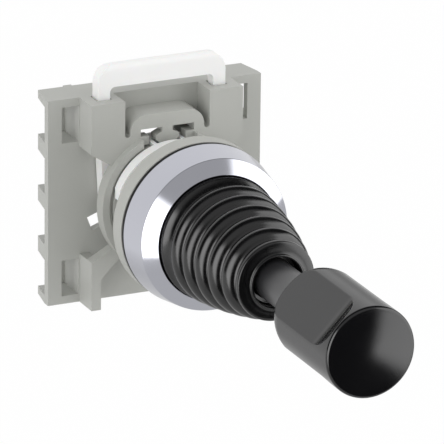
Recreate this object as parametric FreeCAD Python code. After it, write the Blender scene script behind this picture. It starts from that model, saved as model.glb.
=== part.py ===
import FreeCAD, Part
import math
import os

# Industrial joystick operator for a round panel hole, with its clip-on mounting holder.
# Units are millimetres. The lever lies along Y: the user stands on the -Y side, +Z is up
# and the panel is the XZ plane. The origin is the centre of the panel seat, which is the
# back face of the sealing flange. Everything at y > 0 is behind the panel's front face.

V = FreeCAD.Vector
AXIS = V(0, 1, 0)

# Fits and gaps
running_gap = 0.05
press_gap = 0.02
free_gap = 0.3

# Panel neck and sealing flange
neck_r = 11.1
panel_max_t = 5.8
flange_t = 3.5
groove_w = 2.7
groove_depth = 1.15
neck_shoulder = 12.4
neck_rear_r = 9.8
neck_end = 16.0
keyway_half_w = 3.6
keyway_floor = 9.3

# Chrome bezel
gasket_t = 0.95
gasket_inset = 0.1
bezel_ring_w = 3.46
bezel_side = 5.85
bezel_draft = 0.9
bezel_face_drop = 2.1
bezel_lip_t = 1.8

# Rubber boot
boot_base_r = 11.42
boot_rim_gap = 0.12
boot_bead_step = 0.53
boot_length = 23.9
boot_tip_r = 7.1
boot_curve_power = 1.6
boot_ridges = 6
boot_first_crest = 4.4
boot_band_w = 0.4
boot_pitch = 3.78
boot_ridge_h = 0.9
boot_wall = 0.9
boot_inner_wave = 0.45
boot_bead_t = 0.95
boot_bead_grip = 0.45
boot_mouth_r = 4.6
boot_lip_w = 0.5
boot_lip_h = 0.35
boot_rim_w = 1.0
boot_rim_drop = 0.12
boot_recess = 2.0
boot_grip = 1.6
boot_grip_step = 0.4
boot_grip_slope = 0.9

# Lever and its pivot
shaft_r = 3.7
pivot_depth = -2.0
tilt_deg = 14.0
gimbal_r = 8.0
gimbal_wall = 2.2
gimbal_half_w = 1.7
pivot_pin_r = 0.9
pivot_pin_inset = 0.2
cross_pin_inset = 0.1
body_bore_r = 8.6

# Knob
knob_r = 8.2
knob_front = -73.9
knob_rear = -49.3
knob_dome = 0.7
knob_edge_r = 0.55
knob_rear_face_r = 5.0
knob_rear_round = 4.5
knob_flats = 3
knob_flat_half_deg = 38.0
knob_flat_first_deg = 136.0
knob_shoulder = -70.8
knob_shoulder_w = 1.5
knob_shoulder_lap = 0.05
insert_r = 4.6
insert_length = 7.8
insert_cover = 1.6
stub_r = 2.95
stub_end_gap = 0.6

# Gate that limits the tilt
gate_t = 1.3
gate_back_offset = 4.2
gate_half = 5.5
gate_corner_r = 1.2
gate_seat_r = 9.9
clamp_ring_w = 2.4

# Rocker plate and the four pushers behind it
rocker_r = 6.8
rocker_t = 1.2
rocker_offset = 4.0
rocker_screw_r = 1.2
rocker_screw_head_r = 2.2
rocker_screw_length = 2.2
rocker_screw_tip_gap = 0.4
screw_slot_w = 0.5
screw_slot_depth = 0.6
pusher_pitch_r = 5.2
pusher_take_up = 0.55
pusher_head_r = 1.6
pusher_head_length = 2.0
pusher_stem_r = 0.95
pusher_tail_chamfer = 0.3
pusher_reach = 1.6
guide_front = 11.4
guide_t = 2.6
guide_stop_t = 1.2
guide_stop_w = 0.6
guide_stop_root = 0.3
spring_wire_d = 0.4
spring_mean_r = 1.4
spring_turns = 4
spring_sides = 14
spring_seat_gap = 0.03
snap_ring_t = 0.8
snap_ring_w = 1.7
snap_ring_bite = 0.5
snap_ring_mouth = 3.0

# Mounting holder
plate_w = 41.6
plate_h = 38.7
plate_t = 1.6
wall_front = 10.2
wall_t = 2.2
channel_gap = 0.32
block_outer_x = 14.75
block_inner_x = 8.25
block_bottom = 10.2
block_foot_x = 9.6
block_foot_z = 6.9
slot_w = 1.1
slot_bottom = 12.5
arch_round = 3.0
arch_bar_h = 2.65
arch_opening_w = 10.4
tongue_w = 4.5
tongue_neck_w = 2.0
tongue_neck_h = 0.85
tongue_h = 3.05
tongue_barb_h = 0.6
tongue_chamfer = 0.8
join_lap = 0.2
nub_w = 1.6
nub_h = 1.6
nub_top = 12.4
collar_wall = 2.05
collar_front = 8.7
collar_depth = 2.7
collar_funnel_w = 0.75
collar_funnel_t = 0.6
leg_outer_x = 14.65
leg_w = 1.85
leg_top = -10.2
arm_inner_x = 10.1
arm_rise = 2.5
arm_foot_z = -13.5
arm_foot_inner_x = 9.2
arm_foot_rise = 3.5
plate_hole_r = 11.1
plate_slot_w = 7.2
plate_slot_top = 12.2
notch_deg = 20.6
notch_w = 2.75
notch_r = 13.6
rail_pitch = 9.65
rail_t = 2.9
rail_depth = 5.15
rail_inset = 0.9
rail_wall_t = 1.55
rail_wall_step = 0.1
rail_root = 0.5
rail_wall_extra = 0.6
rail_lip_w = 0.75
rail_lip_t = 0.4
window_w = 3.3

# Locking bail
bail_leg_w = 2.3
bail_t = 2.6
bail_leg_end = 0.5
bail_bar_bottom = 21.5
bail_bar_h = 4.15
bail_corner_r = 3.5
bail_inner_r = 1.0
bail_edge_r = 1.25
bail_yoke_w = 1.1
bail_travel = 2.2
bail_lift_gap = 0.35
bail_waist_z = 9.0
bail_waist_in = 0.6
bail_foot_in = 1.1
bail_stem_x = 2.5
bail_stem_w = 0.8
jaw_r = 11.8
jaw_half_w = 11.0
jaw_end_deg = 11.5
jaw_side_gap = 0.2
jaw_root_gap = 0.1

# Places worked out from the sizes above
bezel_hole_r = boot_base_r + boot_rim_gap
bezel_spigot_r = boot_base_r + boot_bead_step
flange_r = bezel_hole_r + bezel_ring_w
gasket_front = -flange_t - gasket_t
bezel_front_edge = gasket_front - bezel_side
bezel_face = bezel_front_edge - bezel_face_drop
bead_front = bezel_face + bezel_lip_t
spigot_front = bead_front + boot_bead_t
boot_tip_y = bezel_face - boot_length
gate_back = pivot_depth - gate_back_offset
gate_front = gate_back - gate_t
rocker_front = pivot_depth + rocker_offset
rocker_back = rocker_front + rocker_t
pusher_tip = rocker_back + pusher_take_up
pusher_head_back = pusher_tip + pusher_head_length
guide_end = guide_front + guide_t
wall_back = wall_front + wall_t
bail_front = wall_back + channel_gap
bail_back = bail_front + bail_t
plate_front = bail_back + channel_gap
plate_back = plate_front + plate_t
groove_r = neck_r - groove_depth
groove_back = panel_max_t + groove_w
collar_bore_r = neck_r + running_gap
collar_funnel_r = collar_bore_r + collar_funnel_w
collar_r = collar_bore_r + collar_wall
half_plate_w = plate_w / 2
half_plate_h = plate_h / 2
arch_half_w = block_inner_x - slot_w
rail_wall_x = block_outer_x + rail_wall_step
opening_half_w = arch_opening_w / 2
bail_inner_x = neck_rear_r + free_gap
bail_half_w = bail_inner_x + bail_leg_w
bail_yoke_r = bail_inner_x + bail_yoke_w
opening_top = bail_yoke_r + bail_travel + bail_lift_gap
arch_top = opening_top + arch_bar_h
gusset_top = slot_bottom - bail_travel - free_gap
socket_outer_x = bail_half_w + free_gap
socket_inner_x = bail_inner_x - free_gap
bail_bar_top = bail_bar_bottom + bail_bar_h
shaft_shoulder = knob_rear - insert_cover
insert_front = shaft_shoulder - insert_length
stub_front = insert_front + stub_end_gap


def revolved(points):
    """Solid of revolution about Y from (radius, y) points; four values end an arc through the last two."""
    edges = []
    last = None
    for point in list(points) + [points[0][:2]]:
        here = V(point[0], point[1], 0)
        if last is not None and (here - last).Length > 1e-6:
            if len(point) == 4:
                edges.append(Part.Arc(last, V(point[2], point[3], 0), here).toShape())
            else:
                edges.append(Part.LineSegment(last, here).toShape())
        last = here
    face = Part.Face(Part.Wire(edges))
    solid = face.revolve(V(0, 0, 0), AXIS, 360)
    if solid.Volume < 0:
        solid.reverse()
    return solid


def cylinder(radius, y_start, y_end, x=0.0, z=0.0):
    """Round bar along Y between two depths."""
    return Part.makeCylinder(radius, y_end - y_start, V(x, y_start, z), AXIS)


def ring(outer_r, inner_r, y_start, y_end):
    """Plain ring about the lever axis."""
    return cylinder(outer_r, y_start, y_end).cut(cylinder(inner_r, y_start, y_end))


def block(x_low, x_high, y_low, y_high, z_low, z_high):
    """Box between the given limits."""
    return Part.makeBox(x_high - x_low, y_high - y_low, z_high - z_low, V(x_low, y_low, z_low))


def prism(points, y_low, y_high):
    """Polygon of (x, z) points, extruded along Y."""
    corners = [V(x, y_low, z) for x, z in points]
    wire = Part.makePolygon(corners + [corners[0]])
    return Part.Face(wire).extrude(V(0, y_high - y_low, 0))


def slab(outline, z_low, z_high):
    """Polygon of (x, y) points, extruded along Z."""
    corners = [V(x, y, z_low) for x, y in outline]
    wire = Part.makePolygon(corners + [corners[0]])
    return Part.Face(wire).extrude(V(0, 0, z_high - z_low))


def both_sides(shape):
    """The shape and its mirror image in the YZ plane."""
    return [shape, shape.mirror(V(0, 0, 0), V(1, 0, 0))]


def edges_along_y(shape, places, tolerance=0.05):
    """Straight edges parallel to Y that pass through one of the (x, z) places."""
    found = []
    for edge in shape.Edges:
        if len(edge.Vertexes) != 2:
            continue
        a = edge.Vertexes[0].Point
        b = edge.Vertexes[1].Point
        if abs(a.x - b.x) > 1e-4 or abs(a.z - b.z) > 1e-4:
            continue
        if any(abs(a.x - x) < tolerance and abs(a.z - z) < tolerance for x, z in places):
            found.append(edge)
    return found


def one_solid(shape):
    """The single solid in a boolean result, with split faces merged."""
    merged = shape.removeSplitter()
    solids = merged.Solids
    assert len(solids) == 1, "expected one solid, found %d" % len(solids)
    return solids[0]


def make_bezel():
    """Chrome ring: drafted side, conical front flank and an inner lip over the boot's bead."""
    bore_r = bezel_spigot_r + running_gap
    return revolved([
        (bore_r, gasket_front),
        (flange_r, gasket_front),
        (flange_r - bezel_draft, bezel_front_edge),
        (bezel_hole_r, bezel_face),
        (bezel_hole_r, bead_front),
        (bore_r, bead_front),
    ])


def make_gasket():
    """Thin black seal between the bezel and the flange."""
    return ring(flange_r - gasket_inset, bezel_spigot_r + running_gap, gasket_front, -flange_t)


def make_housing():
    """Grey body: bezel spigot, sealing flange and panel neck with the groove for the bail."""
    outer = revolved([
        (0, spigot_front),
        (bezel_spigot_r, spigot_front),
        (bezel_spigot_r, -flange_t),
        (flange_r, -flange_t),
        (flange_r, 0),
        (neck_r, 0),
        (neck_r, panel_max_t),
        (groove_r, panel_max_t),
        (groove_r, groove_back),
        (neck_r, groove_back),
        (neck_r, neck_shoulder),
        (neck_rear_r, neck_shoulder),
        (neck_rear_r, neck_end),
        (0, neck_end),
    ])
    body = outer.cut(cylinder(body_bore_r, spigot_front, neck_end))
    body = body.cut(cylinder(gate_seat_r, spigot_front, gate_back))
    stop = ring(
        body_bore_r + guide_stop_root, body_bore_r - guide_stop_w, guide_front - guide_stop_t, guide_front)
    body = body.fuse(stop)
    ring_groove = cylinder(body_bore_r + snap_ring_bite, guide_end, guide_end + snap_ring_t)
    keyway = block(
        -keyway_half_w, keyway_half_w, panel_max_t, neck_shoulder, keyway_floor, neck_r + free_gap)
    body = body.cut(ring_groove).cut(keyway)
    pin_hole = Part.makeCylinder(
        pivot_pin_r + press_gap, 2 * bezel_spigot_r, V(-bezel_spigot_r, pivot_depth, 0), V(1, 0, 0))
    return one_solid(body.cut(pin_hole))


def boot_radius(y):
    """Radius over the ridges: nearly even at the panel, closing faster towards the tip."""
    share = min(max((bezel_face - y) / boot_length, 0.0), 1.0)
    return boot_tip_r + (boot_base_r - boot_tip_r) * (1 - share ** boot_curve_power)


def make_boot():
    """Rubber boot: bead under the bezel's lip, six round ridges and a lipped mouth."""
    bead_r = bezel_spigot_r
    bead_inner_r = gate_seat_r - boot_bead_grip
    half_pitch = boot_pitch / 2
    first = bezel_face - boot_first_crest
    outer = [
        (bead_r, spigot_front),
        (bead_r, bead_front),
        (boot_base_r, bead_front),
        (boot_base_r, bezel_face - boot_band_w),
        (boot_radius(first + half_pitch) - boot_ridge_h, first + half_pitch),
    ]
    inner = [(outer[-1][0] - boot_wall, first + half_pitch)]
    for i in range(boot_ridges):
        crest_y = first - boot_pitch * i
        crest_r = boot_radius(crest_y)
        groove_y = crest_y - half_pitch
        groove_radius = boot_radius(groove_y) - boot_ridge_h
        last = i == boot_ridges - 1
        if last:
            groove_y = boot_tip_y + boot_rim_drop
            groove_radius = boot_mouth_r + boot_lip_w + boot_rim_w
        outer.append((groove_radius, groove_y, crest_r, crest_y))
        inner.append((crest_r - boot_ridge_h * boot_inner_wave - boot_wall, crest_y))
        if not last:
            inner.append((groove_radius - boot_wall, groove_y))
    lip_r = boot_mouth_r + boot_lip_w
    recess_y = boot_tip_y + boot_recess
    grip_end = recess_y + boot_grip
    outer.append((lip_r, boot_tip_y))
    outer.append((boot_mouth_r, boot_tip_y, boot_mouth_r + boot_lip_w / 2, boot_tip_y - boot_lip_h))
    outer.append((boot_mouth_r, recess_y))
    outer.append((shaft_r + running_gap, recess_y))
    outer.append((shaft_r + running_gap, grip_end))
    inner = [point for point in inner if point[1] > grip_end + boot_grip_step]
    outer.append((inner[-1][0] - boot_grip_slope, grip_end))
    outer.extend(reversed(inner))
    outer.append((bead_inner_r, bead_front))
    outer.append((bead_inner_r, spigot_front))
    return revolved(outer)


def make_clamp_ring():
    """Ring behind the boot's bead that holds the gate on its seat."""
    outer_r = gate_seat_r - running_gap
    return ring(outer_r, outer_r - clamp_ring_w, spigot_front, gate_front)


def make_gate():
    """Disc with a rounded square hole that stops the lever at the end of its tilt."""
    disc = cylinder(gate_seat_r - running_gap, gate_front, gate_back)
    hole = block(-gate_half, gate_half, gate_front, gate_back, -gate_half, gate_half)
    corners = [(sx * gate_half, sz * gate_half) for sx in (-1, 1) for sz in (-1, 1)]
    return one_solid(disc.cut(hole.makeFillet(gate_corner_r, edges_along_y(hole, corners))))


def make_gimbal():
    """Ring between body and lever: it tilts in the body, and the lever tilts in it."""
    inner_r = gimbal_r - gimbal_wall
    body = ring(gimbal_r, inner_r, pivot_depth - gimbal_half_w, pivot_depth + gimbal_half_w)
    side_bore = Part.makeCylinder(
        pivot_pin_r + running_gap, 2 * gimbal_r, V(-gimbal_r, pivot_depth, 0), V(1, 0, 0))
    cross_bore = Part.makeCylinder(
        pivot_pin_r + press_gap, 2 * gimbal_r, V(0, pivot_depth, -gimbal_r), V(0, 0, 1))
    return one_solid(body.cut(side_bore).cut(cross_bore))


def make_bearing_pins():
    """Two short pins that carry the gimbal ring in the body."""
    inner_x = gimbal_r - gimbal_wall + pivot_pin_inset
    outer_x = bezel_spigot_r - pivot_pin_inset
    pin = Part.makeCylinder(pivot_pin_r, outer_x - inner_x, V(inner_x, pivot_depth, 0), V(1, 0, 0))
    return both_sides(pin)


def make_cross_pin():
    """Pin through the gimbal ring and the lever."""
    half = gimbal_r - cross_pin_inset
    return Part.makeCylinder(pivot_pin_r, 2 * half, V(0, pivot_depth, -half), V(0, 0, 1))


def make_shaft():
    """Lever rod with a thinner end in the knob and a screw hole in its rear end."""
    rod = cylinder(shaft_r, shaft_shoulder, rocker_front)
    body = rod.fuse(cylinder(stub_r, stub_front, shaft_shoulder))
    cross_hole = Part.makeCylinder(
        pivot_pin_r + running_gap, 4 * shaft_r, V(0, pivot_depth, -2 * shaft_r), V(0, 0, 1))
    screw_hole = cylinder(
        rocker_screw_r + press_gap, rocker_front - rocker_screw_length - rocker_screw_tip_gap, rocker_front)
    return one_solid(body.cut(cross_hole).cut(screw_hole))


def make_rocker():
    """Disc on the rear end of the lever that works the pushers."""
    disc = cylinder(rocker_r, rocker_front, rocker_back)
    seat = Part.makeCone(
        rocker_screw_r + press_gap, rocker_screw_head_r + press_gap, rocker_t,
        V(0, rocker_front, 0), AXIS)
    return one_solid(disc.cut(seat))


def make_rocker_screw():
    """Countersunk screw that holds the rocker disc."""
    head = Part.makeCone(
        rocker_screw_r, rocker_screw_head_r, rocker_t, V(0, rocker_front, 0), AXIS)
    shank = cylinder(rocker_screw_r, rocker_front - rocker_screw_length, rocker_front)
    slot = block(
        -rocker_screw_head_r, rocker_screw_head_r, rocker_back - screw_slot_depth, rocker_back,
        -screw_slot_w / 2, screw_slot_w / 2)
    return one_solid(head.fuse(shank).cut(slot))


def make_knob():
    """Grip with three flats that stop at the conical shoulder of a full round head."""
    edge_y = knob_front + knob_dome
    side_y = edge_y + knob_edge_r
    face_r = knob_r - knob_edge_r
    back_y = knob_rear - knob_rear_round
    drop = knob_r - knob_rear_face_r
    blank = revolved([
        (0, knob_front),
        (face_r, edge_y, face_r * 0.5, knob_front + knob_dome * 0.26),
        (knob_r, side_y, knob_r - knob_edge_r * 0.29, edge_y + knob_edge_r * 0.29),
        (knob_r, back_y),
        (knob_rear_face_r, knob_rear, knob_r - drop * 0.3, back_y + knob_rear_round * 0.71),
        (0, knob_rear),
    ])
    flat_distance = knob_r * math.cos(math.radians(knob_flat_half_deg))
    reach = 2 * knob_r
    shoulder = revolved([
        (0, knob_front),
        (reach, knob_front),
        (reach, knob_shoulder),
        (knob_r + knob_shoulder_lap, knob_shoulder),
        (flat_distance - knob_shoulder_lap, knob_shoulder + knob_shoulder_w),
        (0, knob_shoulder + knob_shoulder_w),
    ])
    cutter = block(flat_distance, reach, knob_shoulder, knob_rear, -knob_r, knob_r)
    cutter = cutter.cut(shoulder)
    for i in range(knob_flats):
        tool = cutter.copy()
        tool.rotate(V(0, 0, 0), AXIS, -(knob_flat_first_deg + i * 360.0 / knob_flats))
        blank = blank.cut(tool)
    bore = cylinder(insert_r + press_gap, insert_front, shaft_shoulder)
    entry = cylinder(shaft_r + press_gap, insert_front, knob_rear)
    return one_solid(blank.cut(bore).cut(entry))


def make_insert():
    """Threaded insert moulded into the knob."""
    return ring(insert_r, stub_r + press_gap, insert_front, shaft_shoulder)


def pusher_places():
    """Name and (x, z) place of each pusher."""
    p = pusher_pitch_r
    return [("up", 0, p), ("down", 0, -p), ("left", -p, 0), ("right", p, 0)]


def make_pusher(x, z):
    """Plunger with a domed head, a spring shoulder and a long stem."""
    dome = math.sqrt(0.5)
    tail = neck_end + pusher_reach
    body = revolved([
        (0, pusher_tip),
        (pusher_head_r, pusher_tip + pusher_head_r,
         pusher_head_r * dome, pusher_tip + pusher_head_r * (1 - dome)),
        (pusher_head_r, pusher_head_back),
        (pusher_stem_r, pusher_head_back),
        (pusher_stem_r, tail - pusher_tail_chamfer),
        (pusher_stem_r - pusher_tail_chamfer, tail),
        (0, tail),
    ])
    body.translate(V(x, 0, z))
    return body


def make_spring(x, z):
    """Coil between a pusher's shoulder and the guide, bent from short straight runs."""
    margin = spring_wire_d / 2 + spring_seat_gap
    start = pusher_head_back + margin
    length = guide_front - margin - start
    runs = spring_turns * spring_sides
    points = []
    for i in range(runs + 1):
        angle = 2 * math.pi * i / spring_sides
        points.append(V(
            x + spring_mean_r * math.cos(angle), start + length * i / runs,
            z + spring_mean_r * math.sin(angle)))
    section = Part.Wire(Part.makeCircle(spring_wire_d / 2, points[0], points[1] - points[0]))
    return Part.makePolygon(points).makePipeShell([section], True, True, 1)


def make_guide():
    """Rear plug of the neck with four bores for the pusher stems."""
    body = cylinder(body_bore_r - running_gap, guide_front, guide_end)
    for name, x, z in pusher_places():
        body = body.cut(cylinder(pusher_stem_r + running_gap, guide_front, guide_end, x, z))
    return body


def make_snap_ring():
    """Open spring ring behind the guide."""
    outer_r = body_bore_r + snap_ring_bite - running_gap
    body = ring(outer_r, outer_r - snap_ring_w, guide_end, guide_end + snap_ring_t)
    gap = block(
        -snap_ring_mouth / 2, snap_ring_mouth / 2, guide_end, guide_end + snap_ring_t,
        -outer_r - 1, 0)
    return one_solid(body.cut(gap))


def holder_front_wall():
    """Front wall: the two blocks that guard the bail and the front of the bridge between them."""
    half = [
        (block_foot_x, block_foot_z), (block_outer_x, block_bottom), (block_outer_x, half_plate_h),
        (block_inner_x, half_plate_h), (block_inner_x, arch_top),
    ]
    outline = half + [(-x, z) for x, z in reversed(half)]
    wall = prism(outline, wall_front, wall_back)
    round_r = slot_w / 2
    slot = block(arch_half_w, block_inner_x, wall_front, wall_back, slot_bottom + round_r, plate_h)
    slot = slot.fuse(cylinder(
        round_r, wall_front, wall_back, arch_half_w + round_r, slot_bottom + round_r))
    for cut in both_sides(slot):
        wall = wall.cut(cut)
    corners = [(-arch_half_w, arch_top), (arch_half_w, arch_top)]
    return wall.makeFillet(arch_round, edges_along_y(wall, corners))


def holder_bridge():
    """Bridge over the bail's yoke, from the front wall back to the plate."""
    body = block(-arch_half_w, arch_half_w, wall_front, plate_front, slot_bottom, arch_top)
    corners = [(-arch_half_w, arch_top), (arch_half_w, arch_top)]
    body = body.makeFillet(arch_round, edges_along_y(body, corners))
    return body.cut(block(
        -opening_half_w, opening_half_w, wall_front, plate_front, slot_bottom, opening_top))


def holder_tongue():
    """Catch that hangs in the opening of the bridge, and the nubs beside it."""
    shoulder = opening_top - tongue_neck_h
    foot = opening_top - tongue_h
    neck = tongue_neck_w / 2
    half = tongue_w / 2
    right = [
        (neck, opening_top + join_lap), (neck, shoulder), (half, shoulder - tongue_barb_h),
        (half, foot + tongue_chamfer), (half - tongue_chamfer, foot),
    ]
    tongue = prism(right + [(-x, z) for x, z in reversed(right)], wall_front, wall_back)
    nub = block(
        opening_half_w - nub_w, opening_half_w + join_lap, wall_front, wall_back,
        nub_top - nub_h, nub_top)
    return [tongue] + both_sides(nub)


def holder_collar():
    """Ring round the neck with a funnel mouth, open under the bridge."""
    body = revolved([
        (collar_funnel_r, collar_front),
        (collar_r, collar_front),
        (collar_r, collar_front + collar_depth),
        (collar_bore_r, collar_front + collar_depth),
        (collar_bore_r, collar_front + collar_funnel_t),
    ])
    mouth = block(
        -opening_half_w, opening_half_w, collar_front, wall_front, 0, collar_r + 1)
    return body.cut(mouth)


def holder_leg():
    """Lower right leg with its slanting arm to the collar."""
    inner = leg_outer_x - leg_w
    leg = block(inner, leg_outer_x, wall_front, plate_front, -half_plate_h, leg_top)
    arm = prism([
        (leg_outer_x, leg_top), (arm_inner_x, leg_top + arm_rise),
        (arm_foot_inner_x, arm_foot_z + arm_foot_rise), (inner, arm_foot_z),
        (leg_outer_x, arm_foot_z),
    ], wall_front, wall_back)
    return leg.fuse(arm)


def holder_plate():
    """Flat plate with the neck hole, its slot and bayonet notches, and four corner windows."""
    plate = block(-half_plate_w, half_plate_w, plate_front, plate_back, -half_plate_h, half_plate_h)
    plate = plate.cut(cylinder(plate_hole_r, plate_front, plate_back))
    slot_half = plate_slot_w / 2
    plate = plate.cut(block(
        -slot_half, slot_half, plate_front, plate_back, 0, plate_slot_top))
    notch = block(0, notch_r, plate_front, plate_back, -notch_w / 2, notch_w / 2)
    notch.rotate(V(0, 0, 0), AXIS, notch_deg)
    for cut in both_sides(notch):
        plate = plate.cut(cut)
    low = rail_pitch + rail_t / 2
    high = 2 * rail_pitch - rail_t / 2
    for bottom, top in ((low, high), (-high, -low)):
        window = block(
            rail_wall_x, rail_wall_x + window_w, plate_front, plate_back, bottom, top)
        for cut in both_sides(window):
            plate = plate.cut(cut)
    return plate


def rail_outline(inner_x):
    """(x, y) outline of a rail: flush with the plate in front, drawn in at the back."""
    back = plate_back + rail_depth
    return [
        (inner_x, plate_front + rail_root), (half_plate_w, plate_front + rail_root),
        (half_plate_w, plate_back),
        (half_plate_w - rail_inset, back), (inner_x, back),
    ]


def holder_rails():
    """Rails behind the plate: three short ones each side, and long ones at top and bottom."""
    pieces = []
    back = plate_back + rail_depth
    for i in (-1, 0, 1):
        centre = i * rail_pitch
        rail = slab(rail_outline(rail_wall_x - rail_root), centre - rail_t / 2, centre + rail_t / 2)
        pieces += both_sides(rail)
    inner_z = 2 * rail_pitch - rail_t / 2
    for low, high in ((inner_z, half_plate_h), (-half_plate_h, -inner_z)):
        pieces += both_sides(slab(rail_outline(0), low, high))
    side = block(
        rail_wall_x - rail_wall_t, rail_wall_x, plate_back - rail_root, back + rail_wall_extra,
        -half_plate_h, half_plate_h)
    lip = block(
        rail_wall_x - rail_root, rail_wall_x + rail_lip_w, back - rail_lip_t, back,
        -half_plate_h, half_plate_h)
    return pieces + both_sides(side) + both_sides(lip)


def make_holder():
    """Grey moulded holder: plate, clip collar, bail guides and rails for the contact blocks."""
    front = holder_front_wall().fuse(holder_collar())
    front = front.cut(cylinder(collar_bore_r, wall_front, wall_back))
    front = front.cut(block(
        -opening_half_w, opening_half_w, wall_front, wall_back, 0, opening_top))
    guard = block(
        socket_outer_x, block_outer_x, wall_front, plate_front, block_bottom, half_plate_h)
    inner_wall = block(
        block_inner_x, socket_inner_x, wall_front, plate_front, slot_bottom, half_plate_h)
    pieces = [front, holder_bridge()] + both_sides(guard) + both_sides(inner_wall)
    pieces += both_sides(holder_leg())
    return one_solid(holder_plate().fuse(pieces + holder_rails() + holder_tongue()))


def bail_frame():
    """Handle bar, the two legs that narrow towards their feet, and the yoke between them."""
    right = [
        (bail_half_w - bail_foot_in, bail_leg_end), (bail_half_w - bail_waist_in, bail_waist_z),
        (bail_half_w, bail_waist_z + bail_waist_in), (bail_half_w, bail_bar_top),
    ]
    body = prism(right + [(-x, z) for x, z in reversed(right)], bail_front, bail_back)
    corners = [(-bail_half_w, bail_bar_top), (bail_half_w, bail_bar_top)]
    body = body.makeFillet(bail_corner_r, edges_along_y(body, corners))
    window = block(
        -bail_inner_x, bail_inner_x, bail_front, bail_back, bail_leg_end, bail_bar_bottom)
    corners = [(-bail_inner_x, bail_bar_bottom), (bail_inner_x, bail_bar_bottom)]
    body = body.cut(window.makeFillet(bail_inner_r, edges_along_y(window, corners)))
    yoke = ring(bail_yoke_r, bail_inner_x, bail_front, bail_back)
    upper = block(
        -bail_yoke_r, bail_yoke_r, bail_front, bail_back, bail_leg_end, bail_yoke_r)
    gusset = block(
        -bail_inner_x, bail_inner_x, bail_front, bail_back, bail_leg_end, gusset_top)
    gusset = gusset.cut(cylinder(bail_inner_x, bail_front, bail_back))
    return body.fuse([yoke.common(upper), gusset])


def make_bail():
    """White bail: its jaw locks in the neck's groove, and pulling the bar up frees the neck."""
    body = bail_frame()
    envelope = block(
        -bail_half_w, bail_half_w, bail_front, bail_back, 0, bail_bar_top)
    top_edges = []
    for edge in envelope.Edges:
        box = edge.BoundBox
        if box.XLength > bail_half_w and box.ZMin > bail_bar_top - 0.1:
            top_edges.append(edge)
    body = body.common(envelope.makeFillet(bail_edge_r, top_edges))
    jaw_start = panel_max_t + jaw_side_gap
    jaw_end = groove_back - jaw_side_gap
    jaw = ring(jaw_r, groove_r + jaw_root_gap, jaw_start, jaw_end)
    reach = 2 * jaw_r
    low = math.radians(jaw_end_deg)
    sector = prism([
        (0, 0), (reach * math.cos(low), reach * math.sin(low)), (reach, reach), (-reach, reach),
        (-reach * math.cos(low), reach * math.sin(low)),
    ], jaw_start, jaw_end)
    relief = cylinder(neck_r + running_gap, jaw_start, jaw_end, 0, -bail_travel)
    width = block(-jaw_half_w, jaw_half_w, jaw_start, jaw_end, 0, jaw_r)
    pieces = [jaw.common(sector).common(width).cut(relief)]
    stem = block(
        bail_stem_x, bail_stem_x + bail_stem_w, jaw_start, bail_back,
        keyway_floor + free_gap, bail_yoke_r)
    pieces += both_sides(stem)
    return one_solid(body.fuse(pieces))


NODES = {
    "bezel": make_bezel(),
    "bezel_gasket": make_gasket(),
    "operator_housing": make_housing(),
    "boot": make_boot(),
    "boot_clamp_ring": make_clamp_ring(),
    "gate_plate": make_gate(),
    "gimbal_ring": make_gimbal(),
    "bearing_pins": Part.makeCompound(make_bearing_pins()),
    "cross_pin": make_cross_pin(),
    "lever_shaft": make_shaft(),
    "rocker_plate": make_rocker(),
    "rocker_screw": make_rocker_screw(),
    "knob": make_knob(),
    "knob_insert": make_insert(),
    "pusher_guide": make_guide(),
    "snap_ring": make_snap_ring(),
    "mounting_holder": make_holder(),
    "locking_bail": make_bail(),
}
for place, x, z in pusher_places():
    NODES["pusher_" + place] = make_pusher(x, z)
    NODES["spring_" + place] = make_spring(x, z)

os.makedirs("parts", exist_ok=True)
for node, shape in NODES.items():
    assert shape.isValid(), node
    assert shape.Volume > 0, node
    shape.exportStep("parts/" + node + ".step")
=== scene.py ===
import logging
import math
from dataclasses import dataclass, field
from enum import Enum
from typing import Optional, Sequence

import bmesh
import bpy
import numpy as np
from mathutils import Matrix, Vector


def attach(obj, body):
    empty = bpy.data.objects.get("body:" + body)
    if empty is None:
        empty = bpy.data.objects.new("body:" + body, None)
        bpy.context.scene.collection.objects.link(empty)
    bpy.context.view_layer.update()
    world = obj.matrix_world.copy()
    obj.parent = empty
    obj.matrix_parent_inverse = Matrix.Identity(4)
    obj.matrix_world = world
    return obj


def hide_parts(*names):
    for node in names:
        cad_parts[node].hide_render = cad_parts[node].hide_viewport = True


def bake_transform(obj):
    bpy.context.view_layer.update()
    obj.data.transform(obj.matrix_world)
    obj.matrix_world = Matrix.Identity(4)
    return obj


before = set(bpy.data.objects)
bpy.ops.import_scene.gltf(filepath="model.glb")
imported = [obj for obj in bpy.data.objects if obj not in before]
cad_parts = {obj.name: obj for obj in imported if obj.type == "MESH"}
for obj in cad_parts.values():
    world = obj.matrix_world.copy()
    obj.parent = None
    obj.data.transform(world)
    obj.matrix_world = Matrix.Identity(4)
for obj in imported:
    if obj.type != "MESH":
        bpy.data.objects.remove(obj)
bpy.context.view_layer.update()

LOG = logging.getLogger("joystick")
MM = 0.001
# Edges of a CAD mesh that turn by more than this are sharp: they stay creased, or are rounded.
SHARP_DEG = 28.0
# Faces of a CAD mesh that turn by less than this are joined.
FLAT_DEG = 0.4
# Points of a CAD mesh nearer to each other than this are merged, in metres.
MERGE_M = 0.5e-6
# Points round a surface of revolution whose radius is the same at every angle.
COLUMNS = 192


class Slot(Enum):
    """Names of the material slots that each new piece is passed with."""

    CHROME = "chrome_plate"
    GREY = "grey_plastic"
    WHITE = "white_plastic"
    BOOT = "boot_rubber"
    SEAL = "seal_rubber"
    KNOB = "knob_plastic"
    ROD = "black_rod"
    STEEL = "bright_steel"


class Body(Enum):
    """CAD bodies that pieces ride on."""

    BASE = "base"
    GIMBAL = "gimbal"
    LEVER = "lever"
    BAIL = "bail"


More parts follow.
